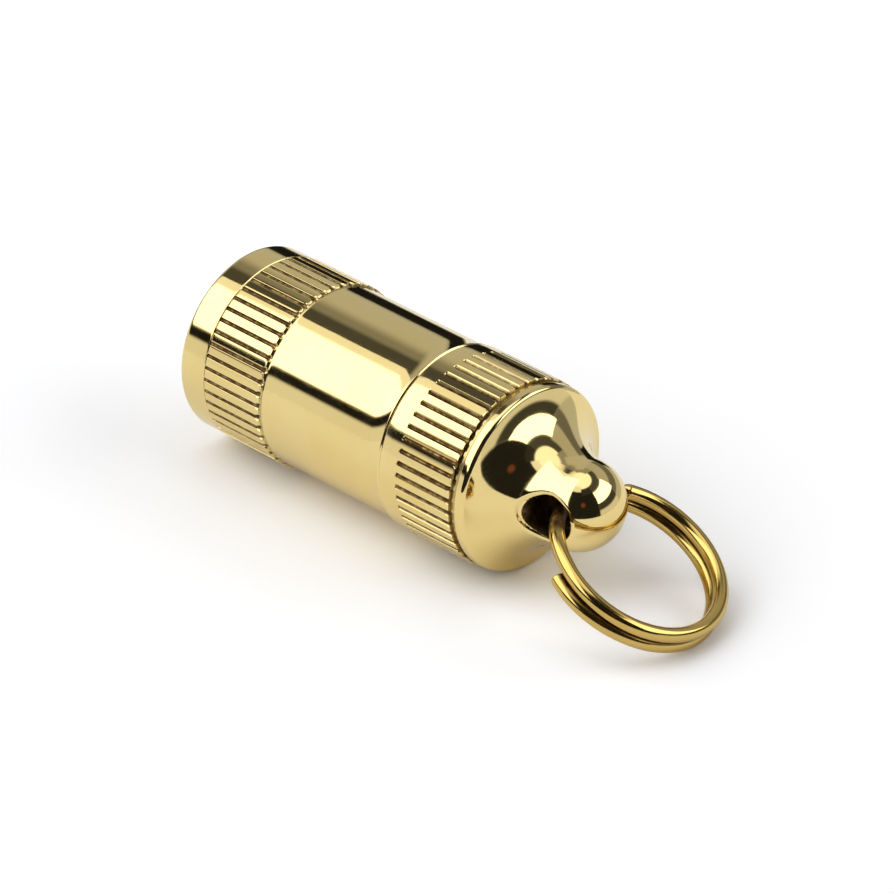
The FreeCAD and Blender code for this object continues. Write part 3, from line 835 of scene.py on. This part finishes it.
def polished_gold(name, colour, deep, rough, turning, hair):
    """Polished plated brass: fine turning lines, cloudy haze, hairline scratches, worn edges, and
    dark brown painted shade where the mesh marks it.
    """
    material, nodes, shader = new_material(name)
    cloud = nodes.remap(nodes.noise(0.22, 3.0), 0.3, 0.7)
    deeper = tuple(0.25 * d + 0.75 * c for c, d in zip(colour, deep)) + (1,)
    tint = nodes.mix(cloud, tuple(colour) + (1,), deeper)
    specks = nodes.remap(nodes.noise(7.0, 2.0), 0.7, 0.78, 0.0, 0.35)
    tint = nodes.mix(specks, tint, tuple(0.8 * d for d in deep) + (1,))
    worn = nodes.add("ShaderNodeAttribute", attribute_name="wear")
    worn_by = nodes.math("MULTIPLY", worn.outputs["Fac"],
                         nodes.remap(nodes.noise(2.6, 4.0), 0.35, 0.6))
    pale = tuple(min(1.0, c * 1.02 + 0.04) for c in colour) + (1,)
    tint = nodes.mix(nodes.math("MULTIPLY", worn_by, 0.6), tint, pale)
    # Painted shade: the mesh's shade mask darkens the colour towards dark brown and roughens it.
    painted_shade = nodes.add("ShaderNodeAttribute", attribute_name="painted_shade").outputs["Fac"]
    shade_amount = nodes.math("MULTIPLY", painted_shade, nodes.remap(nodes.noise(1.8, 4.0), 0.25, 0.6, 0.72, 0.98))
    tint = nodes.mix(shade_amount, tint, SHADE_BROWN)
    nodes.put(shader.inputs["Base Color"], tint)
    haze = nodes.remap(nodes.noise(0.5, 5.0, rough=0.6), 0.35, 0.75, 0.0, 0.035)
    lines = nodes.remap(nodes.noise(1.6, 4.0, hair), 0.62, 0.70, 0.0, 0.05)
    roughness = nodes.math("ADD", nodes.math("ADD", haze, rough), lines)
    roughness = nodes.math("ADD", roughness, nodes.math("MULTIPLY", worn_by, 0.07))
    roughness = nodes.math("ADD", roughness, nodes.math("MULTIPLY", shade_amount, 0.3))
    nodes.put(shader.inputs["Roughness"], roughness)
    shader.inputs["Metallic"].default_value = 1.0
    bump = nodes.bump(nodes.noise(1.0, 3.0, (turning, 0.02, 0.02)), 0.0006)
    bump = nodes.bump(nodes.noise(0.35, 2.0), 0.006, bump)
    nodes.put(shader.inputs["Normal"], bump)
    return material


def lens_material():
    """Clear glass with a faint smear."""
    material, nodes, shader = new_material("lens_glass")
    shader.inputs["Transmission Weight"].default_value = 1.0
    shader.inputs["IOR"].default_value = 1.5
    nodes.put(shader.inputs["Base Color"],
              nodes.mix(nodes.remap(nodes.noise(0.4, 3.0), 0.3, 0.7), (0.97, 0.99, 0.98, 1),
                        (0.99, 1.0, 1.0, 1)))
    nodes.put(shader.inputs["Roughness"],
              nodes.remap(nodes.noise(1.3, 5.0), 0.5, 0.75, 0.0, 0.03))
    nodes.put(shader.inputs["Normal"], nodes.bump(nodes.noise(0.5, 2.0), 0.001))
    return material


def dome_material():
    """The clear silicone over the LED."""
    material, nodes, shader = new_material("led_silicone")
    shader.inputs["Transmission Weight"].default_value = 1.0
    shader.inputs["IOR"].default_value = 1.41
    nodes.put(shader.inputs["Base Color"],
              nodes.mix(nodes.noise(2.0, 2.0), (0.98, 0.97, 0.94, 1), (1.0, 1.0, 0.98, 1)))
    nodes.put(shader.inputs["Roughness"], nodes.remap(nodes.noise(4.0), 0.4, 0.8, 0.01, 0.06))
    return material


def board_material():
    """Dark green solder mask with the weave of the board faintly under it."""
    material, nodes, shader = surface("led_board", (0.03, 0.13, 0.06), 0.35, 0.0, 0.25, 2.0)
    weave = nodes.add("ShaderNodeTexWave", wave_type="BANDS", bands_direction="Y")
    nodes.put(weave.inputs["Vector"], nodes.place())
    weave.inputs["Scale"].default_value = 2.2
    nodes.put(shader.inputs["Normal"], nodes.bump(weave.outputs[1], 0.004))
    return material


def slot_materials():
    """One finish for each material slot of the record."""
    finishes = {name: surface(name, *values)[0] for name, values in SURFACES.items()}
    finishes["gold_brass"] = polished_gold(
        "gold_brass", (0.93, 0.745, 0.33), (0.88, 0.62, 0.20), 0.055, 14, (0.35, 9, 9))
    finishes["ring_wire"] = polished_gold(
        "ring_wire", (0.67, 0.475, 0.145), (0.56, 0.35, 0.08), 0.12, 5, (5, 5, 5))
    finishes["lens_glass"] = lens_material()
    finishes["led_silicone"] = dome_material()
    finishes["board"] = board_material()
    return finishes


# ---- studio -----------------------------------------------------------------------------------

def camera():
    """Looks down on the tail end from the +X, -Y side with a long lens."""
    target = Vector((-2.679, 0.0, 7.021)) * MM
    azimuth = math.radians(-45.243)
    elevation = math.radians(30.947)
    distance = 580.35 * MM
    back = Vector((math.cos(elevation) * math.cos(azimuth),
                   math.cos(elevation) * math.sin(azimuth), math.sin(elevation)))
    data = bpy.data.cameras.new("camera")
    data.lens = 294.39
    data.sensor_width = 36.0
    data.clip_start = 0.05
    data.clip_end = 20.0
    obj = bpy.data.objects.new("camera", data)
    obj.location = target + back * distance
    obj.rotation_mode = "QUATERNION"
    obj.rotation_quaternion = (-back).to_track_quat("-Z", "Y")
    bpy.context.scene.collection.objects.link(obj)
    bpy.context.scene.camera = obj


SHEET_R = 0.1           # radius of the near sheet, in metres
FAR_REACH = 6
FAR_DROP = 2e-5         # the far sheet lies this far under the near one
FLOOR_COLOUR = (0.90, 0.90, 0.895, 1)
FLOOR_SEEN = (1.10, 1.105, 1.125, 1)


def floor():
    """A round white sheet under the torch, and its far part, which only the camera sees."""
    near = [(SHEET_R * math.cos(math.radians(a)), SHEET_R * math.sin(math.radians(a)), 0)
            for a in range(0, 360, 5)]
    far = [(x * FAR_REACH, y * FAR_REACH, -FAR_DROP)
           for x, y in ((-1, -1), (1, -1), (1, 1), (-1, 1))]
    material = floor_material()
    for name, points in (("sheet_near", near), ("sheet_far", far)):
        mesh = bpy.data.meshes.new(name)
        mesh.from_pydata(points, [], [tuple(range(len(points)))])
        mesh.materials.append(material)
        obj = bpy.data.objects.new(name, mesh)
        bpy.context.scene.collection.objects.link(obj)
    obj.visible_diffuse = False
    obj.visible_glossy = False
    obj.visible_transmission = False
    obj.visible_shadow = False


def floor_material():
    """Paper, exposed to white where the camera sees it."""
    material, nodes, diffuse = new_material("paper", "ShaderNodeBsdfDiffuse")
    path = nodes.add("ShaderNodeLightPath")
    nodes.put(diffuse.inputs[0],
              nodes.mix(path.outputs["Is Camera Ray"], FLOOR_COLOUR, FLOOR_SEEN))
    return material


# The studio, as panels (azimuth from, to, elevation from, to, edge, brightness). Azimuths run
# from +X towards +Y. Later panels lie over earlier ones.
PANELS = [
    (-200, 200, 65, 95, 4, 1.25),
    (-80, -38, 58, 72, 4, 0.95),
    (-38, 100, 50, 65, 4, 0.07),
    (100, 152, 56, 70, 6, 0.3),
    (-75, 4, -10, 58, 3, 0.015),
    (-38, 4, 50, 64, 5, 0.03),
    (4, 62, 4, 22, 3, 0.05),
    (4, 70, -30, 6, 5, 0.7),
    (66, 125, 24, 52, 5, 0.45),
    (62, 125, 8, 26, 5, 0.15),
    (62, 122, -30, 8, 4, 0.5),
    (120, 190, 14, 60, 6, 0.5),
    (152, 190, 62, 72, 3, 1.0),
    (146, 190, 36, 63, 14, 0.24),
    (160, 190, 39, 60, 8, 0.07),
    (4, 67, 21, 48, 1.5, 2.3),
    (-190, -78, 17.5, 90, 2, 2.1),
    (-190, -166, 30, 90, 4, 1.0),
    (-190, -75, -10, 16, 1.5, 0.01),
    (112, 152, -7, 12, 2, 0.01),
    (-190, -112, -30, 7, 4, 0.78),
]
BASE_LIGHT = 0.3
RED_GLOW = (-36, 27, 7)  # a dim lamp in the dark room: azimuth, elevation, size
RED = (0.16, 0.05, 0.03, 1)


def rising(nodes, angle, at, edge):
    return nodes.remap(angle, at - edge / 2, at + edge / 2)


def falling(nodes, angle, at, edge):
    return nodes.remap(angle, at - edge / 2, at + edge / 2, 1.0, 0.0)


def world():
    """Softboxes and dark flags round the table, by direction, and white paper behind."""
    sky = bpy.data.worlds.new("studio")
    bpy.context.scene.world = sky
    sky.use_nodes = True
    tree = sky.node_tree
    tree.nodes.clear()
    nodes = Nodes(tree)
    direction = nodes.add("ShaderNodeTexCoord").outputs["Generated"]
    split = nodes.add("ShaderNodeSeparateXYZ")
    nodes.put(split.inputs[0], direction)
    x, y, z = split.outputs
    degrees = 180 / math.pi
    azimuth = nodes.math("MULTIPLY", nodes.math("ARCTAN2", y, x), degrees)
    elevation = nodes.math("MULTIPLY", nodes.math("ARCSINE", z), degrees)
    light = BASE_LIGHT
    for az0, az1, el0, el1, edge, level in PANELS:
        # A panel that reaches past the back, at 180 degrees, has no edge there.
        mask = nodes.math("MULTIPLY", rising(nodes, elevation, el0, edge),
                          falling(nodes, elevation, el1, edge))
        if az0 > -180:
            mask = nodes.math("MULTIPLY", mask, rising(nodes, azimuth, az0, edge))
        if az1 < 180:
            mask = nodes.math("MULTIPLY", mask, falling(nodes, azimuth, az1, edge))
        node = nodes.add("ShaderNodeMix", data_type="FLOAT")
        nodes.put(node.inputs[0], mask)
        nodes.put(node.inputs[2], light)
        node.inputs[3].default_value = level
        light = node.outputs[0]
    az, el, size = RED_GLOW
    aside = nodes.math("SUBTRACT", azimuth, az)
    above = nodes.math("SUBTRACT", elevation, el)
    gap = nodes.math("SQRT", nodes.math("ADD", nodes.math("MULTIPLY", aside, aside),
                                        nodes.math("MULTIPLY", above, above)))
    red = nodes.remap(gap, size * 0.4, size * 1.2, 1.0, 0.0)
    grey = nodes.add("ShaderNodeCombineColor")
    for socket in grey.inputs:
        nodes.put(socket, light)
    colour = nodes.mix(red, grey.outputs[0], RED)
    background = nodes.add("ShaderNodeBackground")
    nodes.put(background.inputs[0], colour)
    paper = nodes.add("ShaderNodeBackground")
    paper.inputs[0].default_value = (1, 1, 1, 1)
    seen = nodes.add("ShaderNodeLightPath")
    choose = nodes.add("ShaderNodeMixShader")
    nodes.put(choose.inputs[0], seen.outputs["Is Camera Ray"])
    nodes.put(choose.inputs[1], background.outputs[0])
    nodes.put(choose.inputs[2], paper.outputs[0])
    output = nodes.add("ShaderNodeOutputWorld")
    nodes.put(output.inputs[0], choose.outputs[0])


# ---- putting it together ------------------------------------------------------------------------

camera()
floor()
world()
bpy.context.scene.view_settings.view_transform = "Standard"

# name, mesh, body, CAD node that it replaces, slot
OUTER_PIECES = [
    ("body_tube_turned", body_tube_mesh, "torch", "body_tube", "gold_brass"),
    ("tail_cap_turned", tail_cap_mesh, "cap", "tail_cap", "gold_brass"),
    ("split_ring_wire", split_ring_mesh, "ring", "split_ring", "ring_wire"),
]
finishes = slot_materials()
for name, build, body, node, slot in OUTER_PIECES:
    mesh = build()
    place(mesh)
    piece(name, mesh, body, [node], finishes[slot])

for obj in frame["nodes"].values():
    for material_slot in obj.material_slots:
        old = material_slot.material
        key = old.name.split(".")[0] if old else ""
        if key in finishes and old is not finishes[key]:
            material_slot.material = finishes[key]
